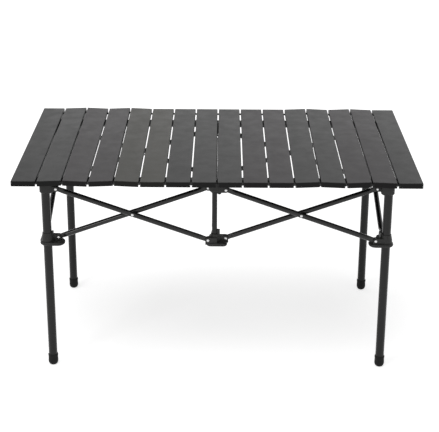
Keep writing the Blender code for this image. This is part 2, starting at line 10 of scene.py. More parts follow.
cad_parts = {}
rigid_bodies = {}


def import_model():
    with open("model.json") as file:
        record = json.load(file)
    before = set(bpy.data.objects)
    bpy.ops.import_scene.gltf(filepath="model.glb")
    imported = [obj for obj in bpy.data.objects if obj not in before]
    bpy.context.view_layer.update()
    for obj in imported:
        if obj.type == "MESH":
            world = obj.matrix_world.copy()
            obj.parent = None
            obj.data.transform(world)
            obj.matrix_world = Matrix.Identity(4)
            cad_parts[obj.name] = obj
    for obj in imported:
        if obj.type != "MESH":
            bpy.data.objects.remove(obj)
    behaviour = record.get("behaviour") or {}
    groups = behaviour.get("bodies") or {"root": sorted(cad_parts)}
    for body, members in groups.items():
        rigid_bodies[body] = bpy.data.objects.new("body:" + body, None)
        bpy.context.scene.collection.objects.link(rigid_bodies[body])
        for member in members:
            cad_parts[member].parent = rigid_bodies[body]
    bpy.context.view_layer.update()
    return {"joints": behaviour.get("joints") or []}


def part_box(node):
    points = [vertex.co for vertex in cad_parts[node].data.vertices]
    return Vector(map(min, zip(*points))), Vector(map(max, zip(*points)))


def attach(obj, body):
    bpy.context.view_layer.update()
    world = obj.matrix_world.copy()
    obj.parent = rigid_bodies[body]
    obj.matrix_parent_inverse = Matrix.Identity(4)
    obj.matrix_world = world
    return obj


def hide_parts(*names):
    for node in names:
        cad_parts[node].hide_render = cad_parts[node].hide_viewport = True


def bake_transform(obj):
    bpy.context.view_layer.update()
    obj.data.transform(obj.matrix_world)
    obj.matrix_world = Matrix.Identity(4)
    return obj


# Camera, solved from the photograph: metres from the middle of the floor under the table, and degrees
PHOTO_WIDTH = 439
FOCAL_PIXELS = 1202.1
CAMERA_PLACE = (0.0129, -2.8484, 1.5141)
CAMERA_PITCH = 20.059
CAMERA_YAW = -0.162
CAMERA_ROLL = 0.287
CAMERA_SHIFT_PIXELS = -60.0

# Slats
SLAT_COUNT = 16
SLAT_GAP = 0.0034
SLAT_THICKNESS = 0.0132
SLAT_SHEET = 0.0012
SLAT_EDGE_ROUND = 0.0016
SLAT_CORNER_ROUND = 0.0011
SLAT_SLIT = 0.0004
SLAT_HEM = 0.0034
SLAT_SIDE_DEPTH = 0.0096

# Cords
CORD_RADIUS = 0.0024
KNOT_STRAND = 0.0016
KNOT_LOOP = 0.00135
KNOT_FROM_SKIRT = 0.0030
KNOT_HALF = 0.0018
TAIL_RADIUS = 0.00176
TAIL_LENGTH = 0.0062
CORD_INSET = 0.025
CORD_HOLE = 0.0028
CORD_DEPTH = 0.0065

# Rails
RAIL_RADIUS = 0.0095
RAIL_WALL = 0.0012
RAIL_CAP = 0.0045
FERRULE_WALL = 0.0012

# Legs, feet and posts
LEG_RADIUS = 0.0105
LEG_WALL = 0.0012
FOOT_RADIUS = 0.0121
FOOT_HEIGHT = 0.029
FOOT_FLOOR = 0.006
FOOT_TREAD = 0.0052
FOOT_ROUND = 0.0105
POST_RADIUS = 0.00625
POST_WALL = 0.0010
POST_SIDE_STEP = 0.0055

# Pins and braces
PIN_REACH_X = 0.021
PIN_REACH_CORNER = 0.026
PIN_REACH_Y = 0.035
UPPER_PIN_Z = 0.471
LOWER_PIN_Z = 0.342
PIN_RADIUS = 0.0025
BRACE_RADIUS = 0.00635
BRACE_STEP = 0.0065
TONGUE_THICKNESS = 0.006
TONGUE_HALF = 0.006
TONGUE_LENGTH = 0.011
TONGUE_FLARE = 0.012
TONGUE_PRESS = 1.7
CROSSING_HALF = 0.0059
CROSSING_FLAT = 0.0050
CROSSING_BLEND = 0.0060
RIVET_HEAD = 0.0034
RIVET_RISE = 0.0013

# Hubs
EAR_RADIUS = 0.0064
ARM_HALF = 0.0064
SLOT_HALF = 0.0034
SLOT_START = 0.0064
HUB_HALF_X = 0.019
HUB_OUTBOARD = 0.0127
HUB_HALF_Y = 0.0155
HUB_CORNER = 0.007
HUB_TAPER = 0.0068
CORNER_TAPER = 0.0028
CORNER_DROP = 0.0022
UPPER_HUB_BOTTOM = 0.463
TUBE_TOP = 0.4776
FLANGE_TOP = 0.3352
FLANGE_BOTTOM = 0.3272
FLANGE_HALF_Y = 0.0195
FLANGE_END_CORNER = 0.0175
FLANGE_OUTBOARD = 0.0175
FLANGE_PAST_PIN = 0.016
FLANGE_CENTRE_HALF = 0.0248
FLANGE_CENTRE_HALF_Y = 0.017
FLANGE_CENTRE_CORNER = 0.010
FLANGE_ARM_HALF = 0.013
FLANGE_ARM_PAST_PIN = 0.014
COLLAR_RADIUS = 0.0124
COLLAR_RISE = 0.0145
COLLAR_FLARE = 0.0022
SOCKET_WALL = 0.003
POST_SOCKET_RISE = 0.014
STUB_WIDTH = 0.0065
STUB_RISE = 0.024
LATCH_WIDTH = 0.0062
LATCH_RISE = 0.0030
BOSS_DROP = 0.0065
CLEARANCE = 0.0003
HUB_EDGE_ROUND = 0.0007

# Smoothness of the meshes
TUBE_SIDES = 40
BRACE_SIDES = 28
RIVET_SIDES = 24
CORD_SIDES = 12
ARC_STEPS = 8
SMOOTH_DEGREES = 38

# Colours, as linear light, and tones as shares of them
SLAT_COLOUR = 0.031
# Painted shade: the share of the slat colour kept on upright skirts, standing in for the shade they sit in
SLAT_PAINTED_SIDE_SHADE = 0.40
FIRST_SLAT_TONE = 0.74
SLAT_TONE_SPREAD = 0.05
WARM_TINT = (1.36, 1.33, 1.20)
MAUVE_TINT = (1.05, 0.98, 1.02)
PLAIN_TINT = (1.0, 1.0, 1.0)
CORD_COLOUR = (0.007, 0.007, 0.007)
RAIL_COLOUR = (0.018, 0.018, 0.018)
CAP_COLOUR = (0.014, 0.014, 0.014)
ZINC_COLOUR = (0.46, 0.46, 0.47)
LEG_COLOUR = (0.009, 0.009, 0.009)
RUBBER_COLOUR = (0.009, 0.009, 0.009)
BRACE_COLOUR = (0.012, 0.012, 0.012)
NICKEL_COLOUR = (0.60, 0.60, 0.60)
HUB_COLOUR = (0.017, 0.017, 0.0165)

# Floor and light: the floor shines by these shares near the table and far from it
FLOOR_REACH = 30.0
FLOOR_COLOUR = (0.72, 0.72, 0.72)
FLOOR_LIFTS = (0.70, 1.0)
FLOOR_LIFT_PLACES = (0.9, 2.6)
WORLD_FILL = 0.22
LAMP_TARGET = (0, 0, 0.4)
OVERHEAD_POWER = 72.0
OVERHEAD_PLACE = (-0.3, -0.45, 3.0)
OVERHEAD_SIZE = (3.0, 2.6)
FRONT_POWER = 16.0
FRONT_PLACE = (-1.9, -2.2, 2.1)
FRONT_SIZE = (0.7, 0.9)

SIDES = {"left": -1, "right": 1}
ROWS = {"front": -1, "back": 1}


# Meshes

def place_on_axis(axis):
    """Return two directions square to an axis and to each other."""
    axis = Vector(axis).normalized()
    up = Vector((0, 0, 1)) if abs(axis.z) < 0.9 else Vector((1, 0, 0))
    up = (up - axis * up.dot(axis)).normalized()
    return up, axis.cross(up)


def loft(rings, closed=False):
    """Join rings of points into a skin with flat ends, or into a closed loop of rings."""
    bm = bmesh.new()
    loops = [[bm.verts.new(point) for point in ring] for ring in rings]
    count = len(loops[0])
    pairs = list(zip(loops, loops[1:])) + ([(loops[-1], loops[0])] if closed else [])
    for lower, upper in pairs:
        for index in range(count):
            after = (index + 1) % count
            bm.faces.new((lower[index], lower[after], upper[after], upper[index]))
    if not closed:
        bm.faces.new(loops[0])
        bm.faces.new(loops[-1])
    return bm


def circle(centre, axis, radius, sides):
    """Return the points of a circle round an axis."""
    up, side = place_on_axis(axis)
    turns = [2 * math.pi * index / sides for index in range(sides)]
    return [Vector(centre) + radius * (math.cos(turn) * up + math.sin(turn) * side) for turn in turns]


def lathe(profile, start, axis, sides, closed=False):
    """Turn a profile of radius and distance points round an axis."""
    axis = Vector(axis).normalized()
    rings = [circle(Vector(start) + axis * along, axis, radius, sides) for radius, along in profile]
    return loft(rings, closed)


def prism(outline, low, high, axis="Z"):
    """Extrude a flat outline along X, Y or Z between two levels."""
    places = {
        "X": lambda u, v, w: Vector((w, u, v)),
        "Y": lambda u, v, w: Vector((u, w, v)),
        "Z": lambda u, v, w: Vector((u, v, w)),
    }
    return loft([[places[axis](u, v, level) for u, v in outline] for level in (low, high)])


def box(low, high):
    """Make a box between two corners."""
    outline = [(low[0], low[1]), (high[0], low[1]), (high[0], high[1]), (low[0], high[1])]
    return prism(outline, low[2], high[2])


def rounded_outline(low, high, corner, steps=ARC_STEPS):
    """Return a rectangle with round corners, as a list of points."""
    points = []
    for sign_x, sign_y, start in ((1, 1, 0), (-1, 1, 90), (-1, -1, 180), (1, -1, 270)):
        x = high[0] - corner if sign_x > 0 else low[0] + corner
        y = high[1] - corner if sign_y > 0 else low[1] + corner
        for step in range(steps + 1):
            turn = math.radians(start + 90 * step / steps)
            points.append((x + corner * math.cos(turn), y + corner * math.sin(turn)))
    return points


def layered(low, high, corner, layers, steps=ARC_STEPS):
    """Stack rounded rectangles, each pulled in by an inset at its own height."""
    rings = []
    for inset, z in layers:
        ring_low, ring_high = (low[0] + inset, low[1] + inset), (high[0] - inset, high[1] - inset)
        outline = rounded_outline(ring_low, ring_high, max(corner - inset, corner * 0.05), steps)
        rings.append([Vector((u, v, z)) for u, v in outline])
    return loft(rings)


def round_rim(bottom, top, steps=6):
    """Return the layers of a plate whose whole rim is round."""
    half, middle = (top - bottom) / 2, (top + bottom) / 2
    turns = [math.pi * (step / steps - 0.5) for step in range(steps + 1)]
    return [(half * (1 - math.cos(turn)), middle + half * math.sin(turn)) for turn in turns]


def loose_object(bm):
    """Put a mesh in the scene for as long as it is being shaped."""
    bmesh.ops.recalc_face_normals(bm, faces=bm.faces)
    mesh = bpy.data.meshes.new("shape")
    bm.to_mesh(mesh)
    bm.free()
    item = bpy.data.objects.new("shape", mesh)
    bpy.context.scene.collection.objects.link(item)
    return item


def shaped(bm, steps, edge_round=0.0):
    """Join and cut shapes in order, round the edges, and return the finished skin."""
    piece = loose_object(bm)
    tools = []
    for operation, tool_bm in steps:
        tools.append(loose_object(tool_bm))
        step = piece.modifiers.new(operation.lower(), "BOOLEAN")
        step.operation = operation
        step.solver = "EXACT"
        step.object = tools[-1]
    if edge_round:
        rounding = piece.modifiers.new("rounding", "BEVEL")
        rounding.width = edge_round
        rounding.segments = 2
        rounding.limit_method = "ANGLE"
        rounding.angle_limit = math.radians(40)
    graph = bpy.context.evaluated_depsgraph_get()
    result = bmesh.new()
    result.from_mesh(piece.evaluated_get(graph).to_mesh())
    bmesh.ops.remove_doubles(result, verts=result.verts, dist=0.00002)
    for item in [piece, *tools]:
        mesh = item.data
        bpy.data.objects.remove(item)
        bpy.data.meshes.remove(mesh)
    return result


def finish_mesh(name, bm, material):
    """Turn a skin into a smooth object with its material."""
    bmesh.ops.recalc_face_normals(bm, faces=bm.faces)
    mesh = bpy.data.meshes.new(name)
    bm.to_mesh(mesh)
    bm.free()
    mesh.shade_smooth()
    mesh.set_sharp_from_angle(angle=math.radians(SMOOTH_DEGREES))
    mesh.materials.append(material)
    piece = bpy.data.objects.new(name, mesh)
    bpy.context.scene.collection.objects.link(piece)
    return piece


def add_piece(name, bm, material, body, stands_for=()):
    """Add a piece that rides on one body and stands for CAD nodes."""
    piece = finish_mesh(name, bm, material)
    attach(piece, body)
    if stands_for:
        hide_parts(*stands_for)
    return piece


# Materials

def add_node(tree, kind, inputs=None, **settings):
    """Add a node, and set its settings and sockets."""
    node = tree.nodes.new(kind)
    for key, value in settings.items():
        setattr(node, key, value)
    for key, value in (inputs or {}).items():
        if isinstance(value, bpy.types.NodeSocket):
            tree.links.new(value, node.inputs[key])
        else:
            node.inputs[key].default_value = value
    return node


def spread(tree, value, low, high, source_low=0.3, source_high=0.7):
    """Map a texture's value to a range."""
    sockets = {"Value": value, "From Min": source_low, "From Max": source_high}
    sockets.update({"To Min": low, "To Max": high})
    return add_node(tree, "ShaderNodeMapRange", sockets).outputs["Result"]


def noise(tree, coords, scale, detail=2.0, roughness=0.5):
    """Return the value of a noise texture of so many waves per metre."""
    sockets = {"Vector": coords, "Scale": scale, "Detail": detail, "Roughness": roughness}
    return add_node(tree, "ShaderNodeTexNoise", sockets).outputs["Fac"]


def product(tree, *values):
    """Multiply values."""
    total = values[0]
    for value in values[1:]:
        total = add_node(tree, "ShaderNodeMath", {0: total, 1: value}, operation="MULTIPLY").outputs[0]
    return total


def coated(name, colour, roughness, specular, grain, peel=0.00006, cloud=0.08, edge_highlight=0.0, painted_side_shade=1.0):
    """Make a paint or plastic with cloudy tone and fine grain, with a painted highlight along sharp edges
    and painted shade on upright faces.
    """
    material = bpy.data.materials.new(name)
    material.use_nodes = True
    tree = material.node_tree
    shader = tree.nodes["Principled BSDF"]
    shader.inputs["Specular IOR Level"].default_value = specular
    places = add_node(tree, "ShaderNodeTexCoord")
    coords = places.outputs["Object"]
    broad = noise(tree, coords, 9.0, 3.0)
    fine = noise(tree, coords, grain, 2.0)
    tone = product(tree, spread(tree, broad, 1 - cloud, 1 + cloud), spread(tree, fine, 0.94, 1.06))
    # Painted shade: upright faces get a darker colour and a weaker reflection, standing in for the shade
    # that falls on them
    if painted_side_shade < 1:
        sockets = {0: places.outputs["Normal"], 1: (0.0, 0.0, 1.0)}
        upward = add_node(tree, "ShaderNodeVectorMath", sockets, operation="DOT_PRODUCT").outputs["Value"]
        level = add_node(tree, "ShaderNodeMath", {0: upward}, operation="ABSOLUTE").outputs[0]
        side_shade_factor = spread(tree, level, painted_side_shade, 1.0, 0.2, 0.7)
        tone = product(tree, tone, side_shade_factor)
        tree.links.new(spread(tree, side_shade_factor, 0.5 * specular, specular, painted_side_shade, 1.0),
                       shader.inputs["Specular IOR Level"])
    paint = add_node(tree, "ShaderNodeVectorMath", {0: colour, "Scale": tone}, operation="SCALE").outputs[0]
    # Painted highlight: sharp edges are lightened, standing in for light caught on their rounded rims
    if edge_highlight:
        edge = edge_highlight_mask(tree)
        lighter = tuple(min(1.0, part + edge_highlight) for part in colour)
        blend = add_node(tree, "ShaderNodeMix", data_type="RGBA")
        tree.links.new(edge, blend.inputs["Factor"])
        tree.links.new(paint, blend.inputs[6])
        blend.inputs[7].default_value = (*lighter, 1.0)
        paint = blend.outputs[2]
    tree.links.new(paint, shader.inputs["Base Color"])
    uneven = noise(tree, coords, 34.0, 3.0)
    tree.links.new(spread(tree, uneven, roughness - 0.05, roughness + 0.05), shader.inputs["Roughness"])
    sockets = {"Height": fine, "Strength": 0.6, "Distance": peel}
    tree.links.new(add_node(tree, "ShaderNodeBump", sockets).outputs[0], shader.inputs["Normal"])
    return material


def edge_highlight_mask(tree, radius=0.0009):
    """Return a mask for a painted highlight: it rises where a surface turns a sharp edge."""
    rounded = add_node(tree, "ShaderNodeBevel", {"Radius": radius}, samples=4).outputs[0]
    flat = add_node(tree, "ShaderNodeNewGeometry").outputs["Normal"]
    agree = add_node(tree, "ShaderNodeVectorMath", {0: rounded, 1: flat}, operation="DOT_PRODUCT")
    return spread(tree, agree.outputs["Value"], 1.0, 0.0, 0.80, 0.99)


def steel(name, colour, roughness, turned):
    """Make bare metal with fine turned or drawn lines."""
    material = bpy.data.materials.new(name)
    material.use_nodes = True
    tree = material.node_tree
    shader = tree.nodes["Principled BSDF"]
    shader.inputs["Metallic"].default_value = 1.0
    coords = add_node(tree, "ShaderNodeTexCoord").outputs["Object"]
    grain = noise(tree, coords, turned, 3.0)
    blotch = noise(tree, coords, 260.0, 3.0)
    tone = product(tree, spread(tree, grain, 0.92, 1.05), spread(tree, blotch, 0.90, 1.04))
    tint = add_node(tree, "ShaderNodeVectorMath", {0: colour, "Scale": tone}, operation="SCALE").outputs[0]
    tree.links.new(tint, shader.inputs["Base Color"])
    tree.links.new(spread(tree, blotch, roughness - 0.06, roughness + 0.08), shader.inputs["Roughness"])
    sockets = {"Height": grain, "Strength": 0.4, "Distance": 0.00003}
    tree.links.new(add_node(tree, "ShaderNodeBump", sockets).outputs[0], shader.inputs["Normal"])
    return material


def braided(name, colour):
    """Make a woven sleeve: two sets of slanting strands round a cord that runs along X."""
    material = bpy.data.materials.new(name)
    material.use_nodes = True
    tree = material.node_tree
    shader = tree.nodes["Principled BSDF"]
    shader.inputs["Sheen Weight"].default_value = 0.1
    shader.inputs["Specular IOR Level"].default_value = 0.15
    coords = add_node(tree, "ShaderNodeTexCoord").outputs["Object"]
    strands = []
    for tilt in (0.7, -0.7):
        turned = add_node(tree, "ShaderNodeMapping", {"Vector": coords, "Rotation": (0.0, tilt, tilt)})
        sockets = {"Vector": turned.outputs[0], "Scale": 420.0, "Distortion": 0.4, "Detail": 1.0}
        strands.append(add_node(tree, "ShaderNodeTexWave", sockets).outputs["Fac"])
    weave = product(tree, *strands)
    fleck = spread(tree, noise(tree, coords, 300.0), 0.85, 1.15)
    tone = product(tree, spread(tree, weave, 0.6, 1.5, 0.0, 1.0), fleck)
    tint = add_node(tree, "ShaderNodeVectorMath", {0: colour, "Scale": tone}, operation="SCALE").outputs[0]
    tree.links.new(tint, shader.inputs["Base Color"])
    tree.links.new(spread(tree, weave, 0.95, 0.75, 0.0, 1.0), shader.inputs["Roughness"])
    sockets = {"Height": weave, "Strength": 0.7, "Distance": 0.0003}
    tree.links.new(add_node(tree, "ShaderNodeBump", sockets).outputs[0], shader.inputs["Normal"])
    return material


# Top

def gap_points(joints):
    """Return the top edge line of each gap, from the roll joints, with the two ends of the top."""
    pairs = {}
    for joint in joints:
        bodies = (joint["parent"], joint["child"])
        if all(body.startswith("slat_") for body in bodies):
            pairs[min(int(body[5:]) for body in bodies)] = Vector(joint["pos_m"])
    points = {gap: Vector((place.x, 0, place.z)) for gap, place in pairs.items()}
    level = points[SLAT_COUNT // 2].z
    points[0] = Vector((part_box("slat_01")[0].x - SLAT_GAP / 2, 0, level))
    points[SLAT_COUNT] = Vector((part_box(f"slat_{SLAT_COUNT}")[1].x + SLAT_GAP / 2, 0, level))
    return points


def slat_skin(low, high, half_depth, number):
    """Make one slat: a folded sheet tray with round edges, hemmed skirts, corner slits and cord holes."""
    across = (high - low).normalized()
    normal = across.cross(Vector((0, 1, 0)))
    middle = (low + high) / 2
    half_width = ((high - low).length - SLAT_GAP) / 2
    turn = [math.pi / 2 * step / 5 for step in range(6)]
    outer = [(0.0, SLAT_THICKNESS), (0.0, SLAT_EDGE_ROUND + 0.001)]
    outer += [(SLAT_EDGE_ROUND * (1 - math.cos(t)), SLAT_EDGE_ROUND * (1 - math.sin(t))) for t in turn]
    inner_round = SLAT_EDGE_ROUND - SLAT_SHEET * 0.7
    inner = [
        (SLAT_SHEET + inner_round, SLAT_SHEET),
        (SLAT_SHEET, SLAT_SHEET + inner_round),
        (SLAT_SHEET, SLAT_THICKNESS - SLAT_HEM),
        (2 * SLAT_SHEET, SLAT_THICKNESS - SLAT_HEM),
        (2 * SLAT_SHEET, SLAT_THICKNESS),
    ]

    def ring(inset, depth):
        corner = max(SLAT_CORNER_ROUND - inset, SLAT_CORNER_ROUND * 0.2)
        size = (half_width - inset, half_depth - inset)
        outline = rounded_outline((-size[0], -size[1]), size, corner, 3)
        return [middle + across * u + Vector((0, v, 0)) - normal * depth for u, v in outline]

    bm = bmesh.new()
    loops = [[bm.verts.new(point) for point in ring(*place)] for place in outer + inner]
    count = len(loops[0])
    split = len(outer)
    for index, (lower, upper) in enumerate(zip(loops, loops[1:])):
        if index == split - 1:
            continue
        for corner in range(count):
            after = (corner + 1) % count
            bm.faces.new((lower[corner], lower[after], upper[after], upper[corner]))
    bm.faces.new(loops[split - 1])
    bm.faces.new(loops[split])
    for corner in range(count):
        after = (corner + 1) % count
        bm.faces.new((loops[0][corner], loops[0][after], loops[-1][after], loops[-1][corner]))

    def slanted(low_corner, high_corner):
        frame_axes = [across, Vector((0, 1, 0)), -normal]
        tool = box(low_corner, high_corner)
        for vert in tool.verts:
            vert.co = middle + sum((frame_axes[axis] * vert.co[axis] for axis in range(3)), Vector())
        return tool

    end_wall = half_depth - 3 * SLAT_SHEET
    trim_low = (-half_width - SLAT_SHEET, -end_wall, SLAT_SIDE_DEPTH)
    trim_high = (half_width + SLAT_SHEET, end_wall, SLAT_THICKNESS + SLAT_SHEET)
    steps = [("DIFFERENCE", slanted(trim_low, trim_high))]
    for sign_x in (-1, 1):
        for sign_y in (-1, 1):
            x = sign_x * (half_width - 1.6 * SLAT_SHEET)
            ends = sorted((sign_y * (half_depth - 2.4 * SLAT_SHEET), sign_y * (half_depth + SLAT_SHEET)))
            low_corner = (x - SLAT_SLIT / 2, ends[0], 2 * SLAT_EDGE_ROUND)
            high_corner = (x + SLAT_SLIT / 2, ends[1], SLAT_THICKNESS + SLAT_SHEET)
            steps.append(("DIFFERENCE", slanted(low_corner, high_corner)))
        if 0 < number + (sign_x - 1) / 2 < SLAT_COUNT:
            for sign_y in (-1, 1):
                start = middle + across * sign_x * (half_width - 3 * SLAT_SHEET) - normal * CORD_DEPTH
                start.y = sign_y * (half_depth - CORD_INSET)
                profile = [(CORD_HOLE, 0.0), (CORD_HOLE, 4 * SLAT_SHEET)]
                steps.append(("DIFFERENCE", lathe(profile, start, across * sign_x, 20)))
    return shaped(bm, steps)


def make_slats(points, half_depth):
    """Add the slats, each in its own shade of the same grey."""
    tints = {number: MAUVE_TINT for number in (3, 4, 10, 11, 14, 15)}
    tints.update({number: WARM_TINT for number in (5, 6)})
    for number in range(1, SLAT_COUNT + 1):
        name = f"slat_{number:02d}"
        level = FIRST_SLAT_TONE if number == 1 else 1.0 + SLAT_TONE_SPREAD * math.sin(2.4 * number)
        colour = tuple(SLAT_COLOUR * part * level for part in tints.get(number, PLAIN_TINT))
        # The slat paint carries painted shade on its upright skirts and a painted highlight along its sharp
        # edges
        material = coated(f"{name}_paint", colour, 0.42, 0.17, 2600.0, cloud=0.06, edge_highlight=0.03,
                          painted_side_shade=SLAT_PAINTED_SIDE_SHADE)
        skin = slat_skin(points[number - 1], points[number], half_depth, number)
        add_piece(f"{name}_tray", skin, material, name, [name])


def make_cords(points, half_depth):
    """Add the two elastic cords, one stretch to each gap, and their knots."""
    material = braided("cord_sleeve", CORD_COLOUR)
    drop = Vector((0, 0, -CORD_DEPTH))
    bend = SLAT_GAP / 2 + SLAT_SHEET
    knot_at = bend + KNOT_FROM_SKIRT
    for row_name, row in ROWS.items():
        y = Vector((0, row * (half_depth - CORD_INSET), 0))
        for gap in range(1, SLAT_COUNT):
            here = points[gap] + drop + y
            before = (points[gap - 1] + points[gap]) / 2 + drop + y
            after = (points[gap] + points[gap + 1]) / 2 + drop + y
            if gap == 1:
                before = here + (before - here).normalized() * knot_at
            if gap == SLAT_COUNT - 1:
                after = here + (after - here).normalized() * knot_at
            path = [before]
            for place in (1.0, 0.5, 0.25):
                path.append(here + (before - here).normalized() * bend * place)
            path.append(here)
            for place in (0.25, 0.5, 1.0):
                path.append(here + (after - here).normalized() * bend * place)
            path.append(after)
            rings = [circle(point, (1, 0, 0), CORD_RADIUS, CORD_SIDES) for point in path]
            piece = finish_mesh(f"{row_name}_cord_{gap:02d}", loft(rings), material)
            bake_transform(piece)
            if gap == SLAT_COUNT // 2:
                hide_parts(f"{row_name}_elastic_cord")
        for sign, gap, slat in ((-1, 1, 1), (1, SLAT_COUNT - 1, SLAT_COUNT)):
            place = points[gap] + drop + y + Vector((sign * (knot_at + KNOT_HALF), 0, 0))
            skins = (("knot", knot_skin(place, sign)), ("tail", tail_skin(place, sign)))
            for label, skin in skins:
                name = f"{row_name}_cord_{label}_{slat:02d}"
                add_piece(name, skin, material, f"slat_{slat:02d}")


def knot_skin(place, sign):
    """Make an overhand knot drawn tight."""
    steps = 72
    path = []
    for step in range(steps):
        turn = 2 * math.pi * step / steps
        x = 0.75 * math.sin(3 * turn)
        y = math.sin(turn) + 2 * math.sin(2 * turn)
        z = math.cos(turn) - 2 * math.cos(2 * turn)
        path.append(place + KNOT_LOOP * Vector((sign * x, y * 0.62, z * 0.62)))
    rings = []
    for index, point in enumerate(path):
        along = (path[(index + 1) % steps] - path[index - 1]).normalized()
        outward = (point - place).normalized()
        side = along.cross(outward).normalized()
        up = side.cross(along)
        turns = [2 * math.pi * corner / 8 for corner in range(8)]
        rings.append([point + KNOT_STRAND * (math.cos(turn) * up + math.sin(turn) * side) for turn in turns])
    return loft(rings, closed=True)


def tail_skin(place, sign):
    """Make the short cut end that stands out of a knot."""
    profile = [(0.0006, 0.0), (TAIL_RADIUS, 0.0002)]
    profile += [(TAIL_RADIUS, TAIL_LENGTH - 0.0004), (0.0006, TAIL_LENGTH)]
    return lathe(profile, place, (sign, 0, 0), CORD_SIDES)


# Tubes

def tube_profile(radius, wall, length, lip=0.0003):
    """Return the outline of a tube wall with softened rims."""
    inner = radius - wall
    return [
        (radius - lip, 0), (radius, lip), (radius, length - lip), (radius - lip, length),
        (inner + lip, length), (inner, length - lip), (inner, lip), (inner + lip, 0),
    ]


def tube(start, end, radius, wall):
    """Make a round tube, open at both ends."""
    span = Vector(end) - Vector(start)
    return lathe(tube_profile(radius, wall, span.length), start, span, TUBE_SIDES, closed=True)


def make_rails(z):
    """Add the rails with the plastic caps at their ends, and the ferrules inside them."""
    paint = coated("rail_paint_coat", RAIL_COLOUR, 0.38, 0.35, 2200.0)
    plastic = coated("rail_cap_plastic", CAP_COLOUR, 0.52, 0.30, 3200.0)
    ferrule_steel = steel("ferrule_zinc", ZINC_COLOUR, 0.34, 2400.0)
    for row_name in ROWS:
        body = f"{row_name}_rail"
        for side_name, column in SIDES.items():
            low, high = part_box(f"{row_name}_rail_{side_name}")
            y = (low.y + high.y) / 2
            inner, outer = (low.x, high.x) if column > 0 else (high.x, low.x)
            shoulder = outer - column * RAIL_CAP
            skin = tube((inner, y, z), (shoulder, y, z), RAIL_RADIUS, RAIL_WALL)
            name = f"{row_name}_rail_{side_name}"
            add_piece(f"{name}_tube", skin, paint, body, [name])
            bore = RAIL_RADIUS - RAIL_WALL - CLEARANCE / 2
            profile = [(0.0008, -0.012), (bore - 0.0006, -0.012), (bore, -0.0114), (bore, 0.0)]
            profile += [(RAIL_RADIUS, 0.0), (RAIL_RADIUS, RAIL_CAP - 0.0024)]
            profile += [(RAIL_RADIUS - 0.0008, RAIL_CAP - 0.0009), (RAIL_RADIUS - 0.0026, RAIL_CAP)]
            profile.append((0.0008, RAIL_CAP))
            cap = lathe(profile, (shoulder, y, z), (column, 0, 0), TUBE_SIDES)
            add_piece(f"{name}_cap", cap, plastic, body)
        low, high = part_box(f"{row_name}_rail_ferrule")
        ends = [(x, (low.y + high.y) / 2, z) for x in (low.x, high.x)]
        skin = tube(*ends, RAIL_RADIUS - RAIL_WALL - CLEARANCE, FERRULE_WALL)
        name = f"{row_name}_rail_ferrule"
        add_piece(f"{name}_sleeve", skin, ferrule_steel, body, [name])


def foot_profile():
    """Return the outline of a rubber foot: round below, with a soft bead at its mouth."""
    bore = LEG_RADIUS + CLEARANCE
    outline = [(0.0004, 0.0012), (0.0030, 0.0012), (0.0034, 0.0), (FOOT_TREAD, 0.0)]
    for step in range(1, 8):
        turn = math.pi / 2 * step / 7
        reach = FOOT_TREAD + (FOOT_RADIUS - FOOT_TREAD) * math.sin(turn)
        outline.append((reach, FOOT_ROUND * (1 - math.cos(turn))))
    outline += [
        (FOOT_RADIUS - 0.0002, 0.0160),
        (FOOT_RADIUS - 0.0004, 0.0205),
        (FOOT_RADIUS - 0.0001, 0.0235),
        (FOOT_RADIUS + 0.0002, 0.0255),
        (FOOT_RADIUS + 0.0001, 0.0275),
        (FOOT_RADIUS - 0.0006, FOOT_HEIGHT - 0.0003),
        (bore + 0.0004, FOOT_HEIGHT),
        (bore, FOOT_HEIGHT - 0.0004),
        (bore, FOOT_FLOOR),
        (0.0004, FOOT_FLOOR),
    ]
    return outline


def make_legs():
    """Add the four legs with their feet."""
    paint = coated("leg_paint_coat", LEG_COLOUR, 0.28, 0.27, 2200.0)
    rubber = coated("foot_rubber_skin", RUBBER_COLOUR, 0.68, 0.20, 1500.0, peel=0.00012, cloud=0.14)
    for row_name in ROWS:
        for side_name in SIDES:
            name = f"{row_name}_{side_name}"
            low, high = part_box(f"{name}_leg")
            x, y = (low.x + high.x) / 2, (low.y + high.y) / 2
            body = f"{name}_leg"
            skin = tube((x, y, low.z), (x, y, TUBE_TOP), LEG_RADIUS, LEG_WALL)
            add_piece(f"{name}_leg_tube", skin, paint, body, [f"{name}_leg"])
            foot = lathe(foot_profile(), (x, y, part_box(f"{name}_foot")[0].z), (0, 0, 1), TUBE_SIDES)
            add_piece(f"{name}_foot_cap", foot, rubber, body, [f"{name}_foot"])
    for row_name in ROWS:
        name = f"{row_name}_centre"
        low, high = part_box(f"{name}_post")
        x, y = (low.x + high.x) / 2, (low.y + high.y) / 2
        skin = tube((x, y, low.z), (x, y, TUBE_TOP), POST_RADIUS, POST_WALL)
        add_piece(f"{name}_post_tube", skin, paint, name, [f"{name}_post"])


# Braces

